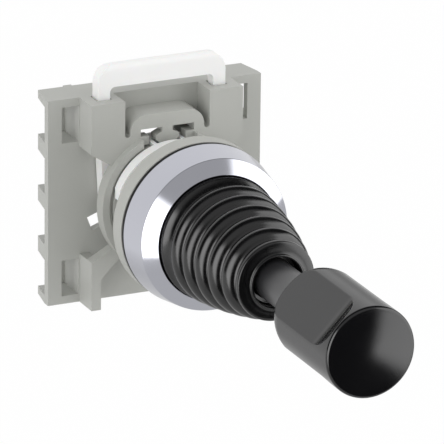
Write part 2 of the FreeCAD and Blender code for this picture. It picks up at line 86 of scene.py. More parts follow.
def linear(hex_colour: str) -> tuple[float, float, float, float]:
    """Turns an sRGB hex colour to linear light.

    Args:
        hex_colour: six hex digits, such as "A8A9A1".

    Returns:
        Linear red, green and blue, and an alpha of 1.
    """
    srgb = np.array([int(hex_colour[i:i + 2], 16) for i in (0, 2, 4)]) / 255.0
    value = np.where(srgb <= 0.04045, srgb / 12.92, ((srgb + 0.055) / 1.055) ** 2.4)
    return (float(value[0]), float(value[1]), float(value[2]), 1.0)


def add_node(tree: bpy.types.NodeTree, kind: str, settings: dict,
             links: Optional[dict] = None) -> bpy.types.Node:
    """Adds a node with its settings and links.

    Args:
        tree: the node tree.
        kind: the node's type name.
        settings: attribute values, or input values where the name is an input's.
        links: input name or number to the socket that feeds it.

    Returns:
        The new node.
    """
    made = tree.nodes.new(kind)
    for name, value in settings.items():
        if isinstance(name, str) and hasattr(made, name):
            setattr(made, name, value)
        else:
            made.inputs[name].default_value = value
    for name, socket in (links or {}).items():
        tree.links.new(socket, made.inputs[name])
    return made


def mirrored_rays(tree: bpy.types.NodeTree, path: bpy.types.Node) -> bpy.types.NodeSocket:
    """Socket that is 1 for a ray that a glossy or clear surface sends on, and 0 for any other.

    Args:
        tree: the node tree.
        path: its light path node.

    Returns:
        The socket.
    """
    return add_node(tree, "ShaderNodeMath", {"operation": "MAXIMUM"}, {
        0: path.outputs["Is Glossy Ray"], 1: path.outputs["Is Transmission Ray"]}).outputs[0]


@dataclass(frozen=True)
class Finish:
    """One surface finish: a base colour with a mottle, a roughness spread and a fine bump.

    grain_mm is the size of the moulded or blasted texture, and mottle_mm that of the slow
    change in colour and gloss that handling and moulding leave.
    """

    name: str
    colour: str
    roughness: float
    metallic: float = 0.0
    ior: float = 1.5
    grain_mm: float = 0.25
    grain_depth_mm: float = 0.004
    mottle_mm: float = 6.0
    mottle: float = 0.05
    gloss_spread: float = 0.06
    subsurface: float = 0.0
    scatter_mm: float = 0.8

    def material(self) -> bpy.types.Material:
        """Builds the material, or returns it where it is already built.

        Returns:
            The node material.
        """
        known = bpy.data.materials.get(self.name)
        if known is not None:
            return known
        made = bpy.data.materials.new(self.name)
        made.use_nodes = True
        tree = made.node_tree
        tree.nodes.clear()
        place = add_node(tree, "ShaderNodeTexCoord", {}).outputs["Object"]
        out = add_node(tree, "ShaderNodeOutputMaterial", {})
        shader = add_node(tree, "ShaderNodeBsdfPrincipled", {"Metallic": self.metallic})
        if self.metallic < 0.5:
            shader.inputs["IOR"].default_value = self.ior
        if self.subsurface > 0:
            shader.inputs["Subsurface Weight"].default_value = self.subsurface
            shader.inputs["Subsurface Scale"].default_value = self.scatter_mm * MM
        self.dress(tree, shader, place)
        tree.links.new(shader.outputs["BSDF"], out.inputs["Surface"])
        return made

    def dress(self, tree: bpy.types.NodeTree, shader: bpy.types.Node, place: bpy.types.NodeSocket) -> None:
        """Feeds colour, roughness and bump.

        Args:
            tree: the material's nodes.
            shader: the Principled shader.
            place: Object coordinates, in metres.
        """
        cloud = add_node(tree, "ShaderNodeTexNoise", {
            "Scale": 1.0 / (self.mottle_mm * MM), "Detail": 3.0, "Roughness": 0.55}, {"Vector": place})
        base = linear(self.colour)
        dark = tuple(c * (1 - self.mottle) for c in base[:3]) + (1.0,)
        pale = tuple(min(c * (1 + self.mottle), 1.0) for c in base[:3]) + (1.0,)
        tone = add_node(tree, "ShaderNodeMix", {"data_type": "RGBA"})
        tone.inputs[6].default_value = dark
        tone.inputs[7].default_value = pale
        tree.links.new(cloud.outputs["Fac"], tone.inputs[0])
        tree.links.new(tone.outputs[2], shader.inputs["Base Color"])
        gloss = add_node(tree, "ShaderNodeMapRange", {
            "From Min": 0.3, "From Max": 0.7,
            "To Min": max(self.roughness - self.gloss_spread, 0.02),
            "To Max": self.roughness + self.gloss_spread}, {"Value": cloud.outputs["Fac"]})
        tree.links.new(gloss.outputs["Result"], shader.inputs["Roughness"])
        grain = add_node(tree, "ShaderNodeTexNoise", {
            "Scale": 1.0 / (self.grain_mm * MM), "Detail": 2.0}, {"Vector": place})
        bump = add_node(tree, "ShaderNodeBump", {
            "Strength": 1.0, "Distance": self.grain_depth_mm * MM}, {"Height": grain.outputs["Fac"]})
        tree.links.new(bump.outputs["Normal"], shader.inputs["Normal"])


@dataclass(frozen=True)
class TurnedFinish(Finish):
    """Metal turned or buffed about the lever's axis, which leaves faint rings round Y."""

    ring_mm: float = 0.35
    ring_depth_mm: float = 0.0006

    def dress(self, tree: bpy.types.NodeTree, shader: bpy.types.Node, place: bpy.types.NodeSocket) -> None:
        """Adds the rings: noise read at (distance from the axis, depth) only, so it is even round Y."""
        super().dress(tree, shader, place)
        parts = add_node(tree, "ShaderNodeSeparateXYZ", {}, {"Vector": place})
        flat = add_node(tree, "ShaderNodeCombineXYZ", {}, {
            "X": parts.outputs["X"], "Y": parts.outputs["Z"]})
        radius = add_node(tree, "ShaderNodeVectorMath", {"operation": "LENGTH"}, {0: flat.outputs["Vector"]})
        ring = add_node(tree, "ShaderNodeCombineXYZ", {}, {
            "X": radius.outputs["Value"], "Y": parts.outputs["Y"]})
        noise = add_node(tree, "ShaderNodeTexNoise", {
            "Scale": 1.0 / (self.ring_mm * MM), "Detail": 2.0}, {"Vector": ring.outputs["Vector"]})
        bump = add_node(tree, "ShaderNodeBump", {
            "Strength": 1.0, "Distance": self.ring_depth_mm * MM}, {"Height": noise.outputs["Fac"]})
        tree.links.new(bump.outputs["Normal"], shader.inputs["Normal"])


# Bright nickel-chrome plate over a turned brass ring: a clear mirror with a cool tint.
CHROME = TurnedFinish("nickel_chrome", "BFC0C8", 0.12, metallic=1.0, mottle=0.01, gloss_spread=0.015)
# Glass-filled polyamide, moulded in an eroded tool: light grey, matt, with a fine even grain.
GREY_PA = Finish("grey_polyamide", "B3B4AF", 0.46, ior=1.53, grain_mm=0.22, grain_depth_mm=0.006,
                 mottle=0.025)
# Acetal, moulded in a polished tool: clean white with a soft waxy sheen.
WHITE_POM = Finish("white_acetal", "F3F3F2", 0.36, ior=1.48, grain_mm=0.6, grain_depth_mm=0.002, mottle=0.01,
                   subsurface=0.08)
# Nitrile rubber, moulded in a bead-blasted tool: black with a satin sheen.
BOOT_NBR = Finish("boot_nitrile", "060607", 0.21, ior=1.62, grain_mm=0.18, grain_depth_mm=0.003, mottle=0.12,
                  mottle_mm=3.0)
# Flat seal cut from black rubber sheet: dull.
SEAL_NBR = Finish("seal_nitrile", "0E0E0E", 0.7, ior=1.52, mottle=0.1)
# Phenolic resin pressed in a polished tool: black, glossy, with a slight orange peel.
KNOB_RESIN = Finish("knob_phenolic", "08080A", 0.14, ior=1.6, grain_mm=1.6, grain_depth_mm=0.003, mottle=0.06,
                    gloss_spread=0.03)
# Steel rod, black oxide over a turned surface: dark grey with a satin sheen.
BLACK_OXIDE = TurnedFinish("black_oxide_steel", "2B2B2D", 0.34, ior=2.0, ring_depth_mm=0.001)
# Unfilled polyamide of the inner pieces: off-white, half matt.
NATURAL_PA = Finish("natural_polyamide", "DCD8CA", 0.42, ior=1.53, mottle=0.03)
# Bright drawn steel of springs, pins and sheet pieces.
BRIGHT_STEEL = TurnedFinish("drawn_steel", "B9BABC", 0.26, metallic=1.0, mottle=0.04)
# Zinc alloy, die cast: dull grey with a slow mottle.
ZINC_CAST = Finish("cast_zinc", "A9AAAC", 0.42, metallic=1.0, mottle=0.08, mottle_mm=2.0)
# Free-cutting brass, turned: warm yellow.
BRASS = TurnedFinish("turned_brass", "D2B36C", 0.24, metallic=1.0, mottle=0.03)


def write_mesh(name: str, points: np.ndarray, faces: Sequence[np.ndarray]) -> bpy.types.Object:
    """Puts computed points and faces into a new object.

    Args:
        name: the object's name.
        points: (n, 3) array, in metres.
        faces: arrays of vertex numbers, each (m, 3) or (m, 4).

    Returns:
        The object, linked to the scene, with its faces outwards.
    """
    triangles = np.vstack([
        np.vstack([f[:, [0, 1, 2]], f[:, [0, 2, 3]]]) if f.shape[1] == 4 else f for f in faces])
    a, b, c = (points[triangles[:, i]] for i in range(3))
    inside_out = np.einsum("ij,ij->i", a, np.cross(b, c)).sum() < 0
    loops = np.concatenate([(f[:, ::-1] if inside_out else f).ravel() for f in faces])
    sizes = np.concatenate([np.full(len(f), f.shape[1]) for f in faces])
    mesh = bpy.data.meshes.new(name)
    mesh.vertices.add(len(points))
    mesh.vertices.foreach_set("co", points.astype(np.float32).ravel())
    mesh.loops.add(len(loops))
    mesh.loops.foreach_set("vertex_index", loops.astype(np.int32))
    mesh.polygons.add(len(sizes))
    mesh.polygons.foreach_set("loop_start", np.concatenate([[0], np.cumsum(sizes)[:-1]]).astype(np.int32))
    mesh.polygons.foreach_set("use_smooth", np.ones(len(sizes), bool))
    mesh.update(calc_edges=True)
    mesh.validate()
    made = bpy.data.objects.new(name, mesh)
    bpy.context.scene.collection.objects.link(made)
    return made


def grid_faces(rows: int, columns: int, close_rows: bool) -> np.ndarray:
    """Quads of a grid that always closes round its columns.

    Args:
        rows: number of rows.
        columns: points in each row.
        close_rows: True if the last row joins the first.

    Returns:
        (m, 4) array of vertex numbers.
    """
    last = rows if close_rows else rows - 1
    i, j = np.meshgrid(np.arange(last), np.arange(columns), indexing="ij")
    up, side = (i + 1) % rows, (j + 1) % columns
    corners = (i * columns + j, i * columns + side, up * columns + side, up * columns + j)
    return np.stack(corners, -1).reshape(-1, 4)


def revolve(name: str, radius: np.ndarray, depth: np.ndarray, closed: bool) -> bpy.types.Object:
    """Surface of revolution about Y: x = r cos a, y = depth, z = r sin a, over the angle a.

    Args:
        name: the object's name.
        radius: (rows,) or (rows, columns) radii in millimetres; a zero first or last row is a pole.
        depth: (rows,) positions along Y in millimetres.
        closed: True if the profile is a closed loop.

    Returns:
        The object.
    """
    columns = radius.shape[1] if radius.ndim == 2 else COLUMNS
    angle = np.linspace(0, 2 * np.pi, columns, endpoint=False)
    r = radius if radius.ndim == 2 else np.repeat(radius[:, None], columns, axis=1)
    y = np.repeat(depth[:, None], columns, axis=1)
    grid = np.stack([r * np.cos(angle), y, r * np.sin(angle)], -1) * MM
    if closed:
        return write_mesh(name, grid.reshape(-1, 3), [grid_faces(len(depth), columns, True)])
    body = grid[1:-1]
    rows = len(body)
    points = np.vstack([body.reshape(-1, 3), grid[0, :1], grid[-1, :1]])
    j = np.arange(columns)
    side = (j + 1) % columns
    first = np.stack([np.full(columns, rows * columns), side, j], -1)
    last = np.stack([np.full(columns, rows * columns + 1), (rows - 1) * columns + j,
                     (rows - 1) * columns + side], -1)
    return write_mesh(name, points, [grid_faces(rows, columns, False), first, last])


def rounded(corners: Sequence[tuple[float, float, float]], closed: bool, steps: int = 7) -> np.ndarray:
    """Profile whose corners are rounded: each corner of a radius becomes an arc tangent to its sides.

    Args:
        corners: (radius, depth, rounding) of each corner, in millimetres.
        closed: True if the last corner joins the first.
        steps: points on each arc.

    Returns:
        (n, 2) array of radius and depth.
    """
    points = np.array(corners, float)
    out = []
    count = len(points)
    for i in range(count):
        here, rounding = points[i, :2], points[i, 2]
        if rounding <= 0 or (not closed and i in (0, count - 1)):
            out.append(here[None])
            continue
        to_last = points[i - 1, :2] - here
        to_next = points[(i + 1) % count, :2] - here
        u, w = to_last / np.linalg.norm(to_last), to_next / np.linalg.norm(to_next)
        half = math.acos(float(np.clip(u @ w, -1, 1))) / 2
        centre = here + (u + w) / np.linalg.norm(u + w) * rounding / math.sin(half)
        start = here + u * rounding / math.tan(half) - centre
        end = here + w * rounding / math.tan(half) - centre
        sweep = math.pi - 2 * half
        t = np.linspace(0, 1, steps)[:, None]
        out.append(centre + (np.sin((1 - t) * sweep) * start + np.sin(t * sweep) * end) / math.sin(sweep))
    return np.vstack(out)


def finish_piece(piece: bpy.types.Object, finish: Finish, slot: Slot, body: Optional[Body],
                 *nodes: str) -> bpy.types.Object:
    """Dresses a piece, and says which body it rides on and which CAD nodes it stands for."""
    piece.data.materials.clear()
    piece.data.materials.append(finish.material())
    if nodes:
        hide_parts(*nodes)
    if body is not None:
        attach(piece, body.value)
    LOG.info("%s: %d faces", piece.name, len(piece.data.polygons))
    return piece


def merged_copy(node: str, name: str) -> bpy.types.Object:
    """Copy of a CAD node's mesh, merged, with flat faces joined and smooth faces between its sharp edges.

    Args:
        node: the CAD node.
        name: the new piece's name.

    Returns:
        The copy, at the origin.
    """
    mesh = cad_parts[node].data.copy()
    mesh.name = name
    work = bmesh.new()
    work.from_mesh(mesh)
    bmesh.ops.remove_doubles(work, verts=work.verts, dist=MERGE_M)
    bmesh.ops.dissolve_limit(work, angle_limit=math.radians(FLAT_DEG), verts=work.verts, edges=work.edges)
    for face in work.faces:
        face.smooth = True
    for edge in work.edges:
        edge.smooth = not (len(edge.link_faces) == 2 and edge.calc_face_angle(0) > math.radians(SHARP_DEG))
    work.to_mesh(mesh)
    work.free()
    made = bpy.data.objects.new(name, mesh)
    bpy.context.scene.collection.objects.link(made)
    return made


def softened_copy(node: str, name: str, edge_mm: float) -> bpy.types.Object:
    """Merged copy of a CAD node's mesh, with its edges rounded as moulded.

    Args:
        node: the CAD node.
        name: the new piece's name.
        edge_mm: rounding of the edges.

    Returns:
        The copy, at the origin.
    """
    made = merged_copy(node, name)
    bevel = made.modifiers.new("moulded_edges", "BEVEL")
    bevel.width = edge_mm * MM
    bevel.segments = 2
    bevel.limit_method = "ANGLE"
    bevel.angle_limit = math.radians(SHARP_DEG)
    bevel.use_clamp_overlap = True
    bevel.harden_normals = True
    return made


@dataclass
class PanelOperator:
    """Bezel, seal, flange and neck: the pieces that clamp the panel."""

    flange_r: float = 15.0
    seal_front: float = -4.45
    seal_t: float = 0.95
    seal_inset: float = 0.1
    side: float = 5.85
    draft: float = 0.9
    drop: float = 2.1
    hole_r: float = 11.54
    lip: float = 1.8
    spigot_r: float = 12.0
    edge_r: float = 0.18
    housing_edge: float = 0.16

    def bezel(self) -> bpy.types.Object:
        """Chrome ring: a drafted side, a conical flank and a lip, with small rounded edges."""
        edge = self.seal_front - self.side
        face = edge - self.drop
        profile = rounded([
            (self.spigot_r, self.seal_front, 0.05),
            (self.flange_r, self.seal_front, 0.15),
            (self.flange_r - self.draft, edge, self.edge_r),
            (self.hole_r, face, 0.12),
            (self.hole_r, face + self.lip, 0.05),
            (self.spigot_r, face + self.lip, 0.05),
        ], closed=True)
        piece = revolve("chrome_bezel", profile[:, 0], profile[:, 1], closed=True)
        piece.modifiers.new("even_normals", "WEIGHTED_NORMAL").keep_sharp = True
        return finish_piece(piece, CHROME, Slot.CHROME, Body.BASE, "bezel")

    def seal(self) -> bpy.types.Object:
        """Thin black ring, its rim rounded and set back a little from the flange's."""
        rim = self.flange_r - self.seal_inset
        rear = self.seal_front + self.seal_t
        profile = rounded([
            (self.spigot_r, self.seal_front, 0.1), (rim, self.seal_front, 0.2),
            (rim, rear, 0.2), (self.spigot_r, rear, 0.1),
        ], closed=True)
        piece = revolve("bezel_seal", profile[:, 0], profile[:, 1], closed=True)
        return finish_piece(piece, SEAL_NBR, Slot.SEAL, Body.BASE, "bezel_gasket")

    def housing(self) -> bpy.types.Object:
        """Grey moulded flange and neck."""
        piece = softened_copy("operator_housing", "operator_body", self.housing_edge)
        return finish_piece(piece, GREY_PA, Slot.GREY, Body.BASE, "operator_housing")

    def build(self) -> None:
        """Makes the three pieces."""
        self.bezel()
        self.seal()
        self.housing()


@dataclass
class RibbedBoot:
    """Rubber boot in two shells that meet in a groove."""

    face: float = -12.4
    length: float = 23.9
    base_r: float = 11.42
    tip_r: float = 7.1
    power: float = 1.6
    first_crest: float = -16.8
    pitch: float = 3.78
    ridges: int = 6
    ridge_r: float = 1.5
    ridge_half: float = 1.38
    ridge_h: float = 0.95
    root_fade: float = 2.2
    wall: float = 1.1
    bead_in_r: float = 9.45
    bead_out_r: float = 11.95
    bead_front: float = -10.6
    bead_rear: float = -9.65
    mouth_r: float = 4.6
    lip_w: float = 0.5
    lip_h: float = 0.3
    shaft_r: float = 3.75
    collar_front: float = 2.0
    collar_rear: float = 3.6
    flare_r: float = 5.2
    flare_end_r: float = 6.2
    flare_end: float = 5.0

    def envelope(self, y: np.ndarray) -> np.ndarray:
        """Radius over the ridges: it falls from base to tip as the share of the length to a power."""
        share = np.clip((self.face - y) / self.length, 0, 1)
        return self.tip_r + (self.base_r - self.tip_r) * (1 - share ** self.power)

    def outer(self, y: np.ndarray) -> np.ndarray:
        """Outer radius: each ridge is an arc of ridge_r, and hollow arcs join it to its neighbours.

        An arc reaches ridge_half off its crest. Behind the first ridge the groove fades out to the base.
        """
        phase = (y - self.first_crest) / self.pitch
        away = np.abs(phase - np.round(phase)) * self.pitch
        slope = math.asin(self.ridge_half / self.ridge_r)
        ridge = self.ridge_r - np.sqrt(np.clip(self.ridge_r ** 2 - away ** 2, 0, None))
        hollow_r = (self.pitch / 2 - self.ridge_half) / math.sin(slope)
        floor = self.ridge_r * (1 - math.cos(slope)) + hollow_r * (1 - math.cos(slope))
        across = self.pitch / 2 - away
        hollow = floor - hollow_r + np.sqrt(np.clip(hollow_r ** 2 - across ** 2, 0, None))
        groove = np.where(away < self.ridge_half, ridge, hollow)
        lead = np.clip(phase - 0.5, 0, 1)
        lead = lead * lead * (3 - 2 * lead)
        flat = self.ridge_h * (1 - np.clip(lead * self.root_fade, 0, 1))
        return self.envelope(y) - np.where(phase > 0.5, flat, groove)

    def throat(self, tip: float) -> np.ndarray:
        """Inside of the mouth, from the lip to behind the collar that closes on the rod."""
        corners = (
            (self.mouth_r, self.lip_h, 0), (self.mouth_r, self.collar_front, 0.3),
            (self.shaft_r, self.collar_front, 0.1), (self.shaft_r, self.collar_rear, 0.1),
            (self.flare_r, self.collar_rear, 0.2), (self.flare_end_r, self.flare_end, 0),
        )
        return rounded([(r, tip + behind, rounding) for r, behind, rounding in corners], closed=False)

    def shell(self, name: str, outline: np.ndarray) -> bpy.types.Object:
        """Closed shell from its outline, dressed, with its place baked into its points."""
        piece = revolve(name, outline[:, 0], outline[:, 1], closed=True)
        finish_piece(piece, BOOT_NBR, Slot.BOOT, None, "boot")
        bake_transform(piece)
        return piece

    def build(self) -> None:
        """Makes the lower shell with its bead, and the upper one with its mouth."""
        seam = self.first_crest - 0.5 * self.pitch
        low = np.linspace(self.face + 0.2, seam, 72)
        low_inside = low[::-6]
        lower = np.vstack([
            rounded([
                (self.bead_in_r, self.bead_rear, 0.1), (self.bead_out_r, self.bead_rear, 0.2),
                (self.bead_out_r, self.bead_front, 0.2), (self.base_r, self.bead_front, 0.05),
            ], closed=False),
            np.stack([self.outer(low), low], 1),
            np.stack([self.outer(low_inside) - self.wall, low_inside], 1),
            [(self.bead_in_r, self.bead_front)],
        ])
        self.shell("boot_lower", lower)
        tip = self.face - self.length
        last = self.first_crest - (self.ridges - 1) * self.pitch
        high = np.linspace(seam, last, 180)
        # The inner wall ends well before the mouth, where the throat's flare meets it.
        high_inside = high[80::-8]
        turn = np.linspace(0, np.pi / 2, 12)[1:]
        crest_r = float(self.outer(np.array([last]))[0])
        dome_w = crest_r - self.mouth_r - self.lip_w - 0.6
        dome_l = tip + 0.15 - last
        dome = np.stack([crest_r - dome_w * (1 - np.cos(turn)), last + dome_l * np.sin(turn)], 1)
        lip_r = self.mouth_r + self.lip_w
        ring = np.linspace(0, np.pi, 9)
        lip = np.stack([
            self.mouth_r + self.lip_w / 2 * (1 + np.cos(ring)), tip - self.lip_h * np.sin(ring)], 1)
        upper = np.vstack([
            np.stack([self.outer(high), high], 1), dome, [(lip_r + 0.2, tip + 0.1)], lip, self.throat(tip),
            np.stack([self.outer(high_inside) - self.wall, high_inside], 1),
        ])
        self.shell("boot_upper", upper)


@dataclass
class GripLever:
    """Black rod and the grip with three flats below a full round head."""

    shaft_r: float = 3.7
    shaft_rear: float = 2.0
    knob_r: float = 8.2
    front: float = -73.9
    rear: float = -49.3
    dome: float = 0.7
    edge_r: float = 0.7
    rear_face_r: float = 5.0
    rear_round: float = 4.5
    flats: int = 3
    flat_half_deg: float = 38.0
    first_flat_deg: float = 136.0
    scoop_start: float = -66.9
    scoop_r: float = 9.8
    blend_mm: float = 0.1
    socket_depth: float = 1.5
    socket_gap: float = 0.05
    socket_mouth: float = 0.35
    socket_chamfer: float = 0.25
    tenon_r: float = 2.95
    tenon_start: float = 1.3
    tenon_end: float = 8.0
    columns: int = 432

    def blank(self) -> np.ndarray:
        """Profile of the turned grip before its flats: dome, edge, side, rounded rear and rod socket."""
        face_r = self.knob_r - self.edge_r
        edge_y = self.front + self.dome
        across = np.linspace(0, 1, 26)
        dome = np.stack([face_r * across, self.front + self.dome * across ** 2], 1)
        turn = np.linspace(0.18, np.pi / 2, 9)
        edge = np.stack([face_r + self.edge_r * np.sin(turn), edge_y + self.edge_r * (1 - np.cos(turn))], 1)
        head = np.linspace(edge_y + self.edge_r, self.scoop_start, 72)[1:]
        back_y = self.rear - self.rear_round
        body = np.linspace(self.scoop_start, back_y, 24)[1:]
        swing = np.linspace(0, np.pi / 2, 40)[1:]
        drop = self.knob_r - self.rear_face_r
        rear = np.stack([
            self.knob_r - drop * (1 - np.cos(swing)), back_y + self.rear_round * np.sin(swing)], 1)
        along = np.concatenate([head, body])
        side = np.stack([np.full(len(along), self.knob_r), along], 1)
        socket_r, floor = self.shaft_r + self.socket_gap, self.rear - self.socket_depth
        socket = np.array([
            [self.shaft_r + self.socket_mouth, self.rear], [socket_r, self.rear - self.socket_chamfer],
            [socket_r, floor], [0.0, floor]])
        return np.vstack([dome, edge, side, rear, socket])

    def knob(self) -> bpy.types.Object:
        """Grip: at each angle the radius is the blank's, or the nearest flat's where that is less.

        Towards the head a flat rises out of the grip along an arc of scoop_r, as a large cutter leaves it.
        """
        profile = self.blank()
        angle = np.linspace(0, 2 * np.pi, self.columns, endpoint=False)
        span = 360.0 / self.flats
        turn = (np.degrees(angle) - self.first_flat_deg + span / 2) % span - span / 2
        flat = self.knob_r * math.cos(math.radians(self.flat_half_deg))
        run = np.clip(self.scoop_start - profile[:, 1], 0, self.scoop_r)
        rise = self.scoop_r - np.sqrt(self.scoop_r ** 2 - run ** 2)
        limit = (flat + rise[:, None]) / np.cos(np.radians(np.clip(turn, -58, 58)))[None, :]
        full = profile[:, :1]
        radius = np.where(full > self.shaft_r + 0.5, self.smooth_min(full, limit), full)
        piece = revolve("grip", radius, profile[:, 1], closed=False)
        return finish_piece(piece, KNOB_RESIN, Slot.KNOB, Body.LEVER, "knob")

    def smooth_min(self, a: np.ndarray, b: np.ndarray) -> np.ndarray:
        """Lesser of two radii, with the edge between them rounded over blend_mm."""
        k = self.blend_mm
        h = np.clip(0.5 + 0.5 * (b - a) / k, 0, 1)
        return b * (1 - h) + a * h - k * h * (1 - h)

    def rod(self) -> bpy.types.Object:
        """Black rod, with its thinner end in the grip's insert."""
        step, end = self.rear - self.tenon_start, self.rear - self.tenon_end
        profile = rounded([
            (0.0, self.shaft_rear, 0), (self.shaft_r, self.shaft_rear, 0.3), (self.shaft_r, step, 0.1),
            (self.tenon_r, step, 0), (self.tenon_r, end, 0.3), (0.0, end, 0),
        ], closed=False)
        piece = revolve("lever_rod", profile[:, 0], profile[:, 1], closed=False)
        return finish_piece(piece, BLACK_OXIDE, Slot.ROD, Body.LEVER, "lever_shaft")

    def build(self) -> None:
        """Makes the rod and the grip."""
        self.rod()
        self.knob()


@dataclass
class ClipHolder:
    """Grey holder behind the panel and the white bail that slides in it."""

    grey_edge: float = 0.22
    white_edge: float = 0.3

    def build(self) -> None:
        """Makes the moulded holder and the bail."""
        holder = softened_copy("mounting_holder", "clip_holder", self.grey_edge)
        finish_piece(holder, GREY_PA, Slot.GREY, Body.BASE, "mounting_holder")
        bail = softened_copy("locking_bail", "white_bail", self.white_edge)
        finish_piece(bail, WHITE_POM, Slot.WHITE, Body.BAIL, "locking_bail")


@dataclass
class InnerWorks:
    """Inner CAD nodes, which stay as they are and get their finishes, and coil springs copied from their
    nodes.
    """

    spring_rear: float = 11.3
    spring_front: float = 5.9
    finishes: dict[str, Finish] = field(default_factory=lambda: {
        "boot_clamp_ring": NATURAL_PA, "gate_plate": BRIGHT_STEEL, "gimbal_ring": ZINC_CAST,
        "bearing_pins": BRIGHT_STEEL, "cross_pin": BRIGHT_STEEL, "rocker_plate": BRIGHT_STEEL,
        "rocker_screw": BRIGHT_STEEL, "knob_insert": BRASS, "pusher_guide": GREY_PA,
        "snap_ring": BRIGHT_STEEL})

    def spring(self, place: str) -> None:
        """Coil spring: a merged copy of its CAD node, dressed, with its place baked into its points."""
        piece = finish_piece(merged_copy("spring_" + place, "coil_" + place), BRIGHT_STEEL, Slot.STEEL, None,
                             "spring_" + place)
        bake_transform(piece)

    def build(self) -> None:
        """Assigns a finish to each inner node, and makes the springs."""
        for place in ("up", "down", "left", "right"):
            self.finishes["pusher_" + place] = NATURAL_PA
            self.spring(place)
        for node, finish in self.finishes.items():
            mesh_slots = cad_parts[node].data.materials
            mesh_slots.clear()
            mesh_slots.append(finish.material())
            LOG.info("%s: %s", node, finish.name)


@dataclass
class Softbox:
    """Rectangular light far away, seen in a direction, that leans by its roll and fades at its edges.

    Its half width and half height are tangents of the angles that it spans from the part. Its
    radiance is 1 for white: one level for what it mirrors in a surface, and one for its plain light. A
    flag is a dark card of the same form, which only mirrors show. A panel shows in full where the cosine
    of the angle to its direction is over ahead_cos.
    """

    direction: tuple[float, float, float]
    half_width: float
    half_height: float
    mirrored: float
    plain: float
    roll_deg: float = 15.0
    fade: float = 0.2
    flag: bool = False
    ahead_cos: float = 0.1

    def axes(self) -> tuple[Vector, Vector, Vector]:
        """Unit vectors towards the light, across it and up it."""
        ahead = Vector(self.direction).normalized()
        across = ahead.cross(Vector((0.0, 0.0, 1.0))).normalized()
        up = across.cross(ahead)
        roll = math.radians(self.roll_deg)
        cos, sin = math.cos(roll), math.sin(roll)
        return (ahead, across * cos + up * sin, up * cos - across * sin)

    def light(self, tree: bpy.types.NodeTree, heading: bpy.types.NodeSocket, room: bpy.types.NodeSocket,
              mirror: bpy.types.NodeSocket) -> bpy.types.NodeSocket:
        """Lays the panel over what is behind it, its level the greater for a lamp and the share for a flag.

        Args:
            tree: the world's nodes.
            heading: unit vector of the ray.
            room: radiance behind the panel.
            mirror: 1 for a mirrored ray, and 0 for a diffuse one.

        Returns:
            The radiance along the heading.
        """
        dots = [add_node(tree, "ShaderNodeVectorMath", {"operation": "DOT_PRODUCT", 1: tuple(axis)}, {
            0: heading}).outputs["Value"] for axis in self.axes()]
        if self.flag:
            level = mirror
        else:
            level = add_node(tree, "ShaderNodeMapRange", {"To Min": self.plain, "To Max": self.mirrored}, {
                "Value": mirror}).outputs["Result"]
        shares = [add_node(tree, "ShaderNodeMapRange", {"From Min": 0.0, "From Max": self.ahead_cos}, {
            "Value": dots[0]}).outputs["Result"]]
        for dot, half in ((dots[1], self.half_width), (dots[2], self.half_height)):
            slope = add_node(tree, "ShaderNodeMath", {"operation": "DIVIDE"}, {0: dot, 1: dots[0]})
            away = add_node(tree, "ShaderNodeMath", {"operation": "ABSOLUTE"}, {0: slope.outputs[0]})
            shares.append(add_node(tree, "ShaderNodeMapRange", {
                "interpolation_type": "SMOOTHSTEP", "From Min": half - self.fade / 2,
                "From Max": half + self.fade / 2, "To Min": 1.0, "To Max": 0.0}, {
                "Value": away.outputs[0]}).outputs["Result"])
        for share in shares:
            level = add_node(tree, "ShaderNodeMath", {"operation": "MULTIPLY"}, {
                0: level, 1: share}).outputs[0]
        if self.flag:
            return add_node(tree, "ShaderNodeMix", {"data_type": "FLOAT", 3: self.mirrored}, {
                0: level, 2: room}).outputs[0]
        return add_node(tree, "ShaderNodeMath", {"operation": "MAXIMUM"}, {0: room, 1: level}).outputs[0]


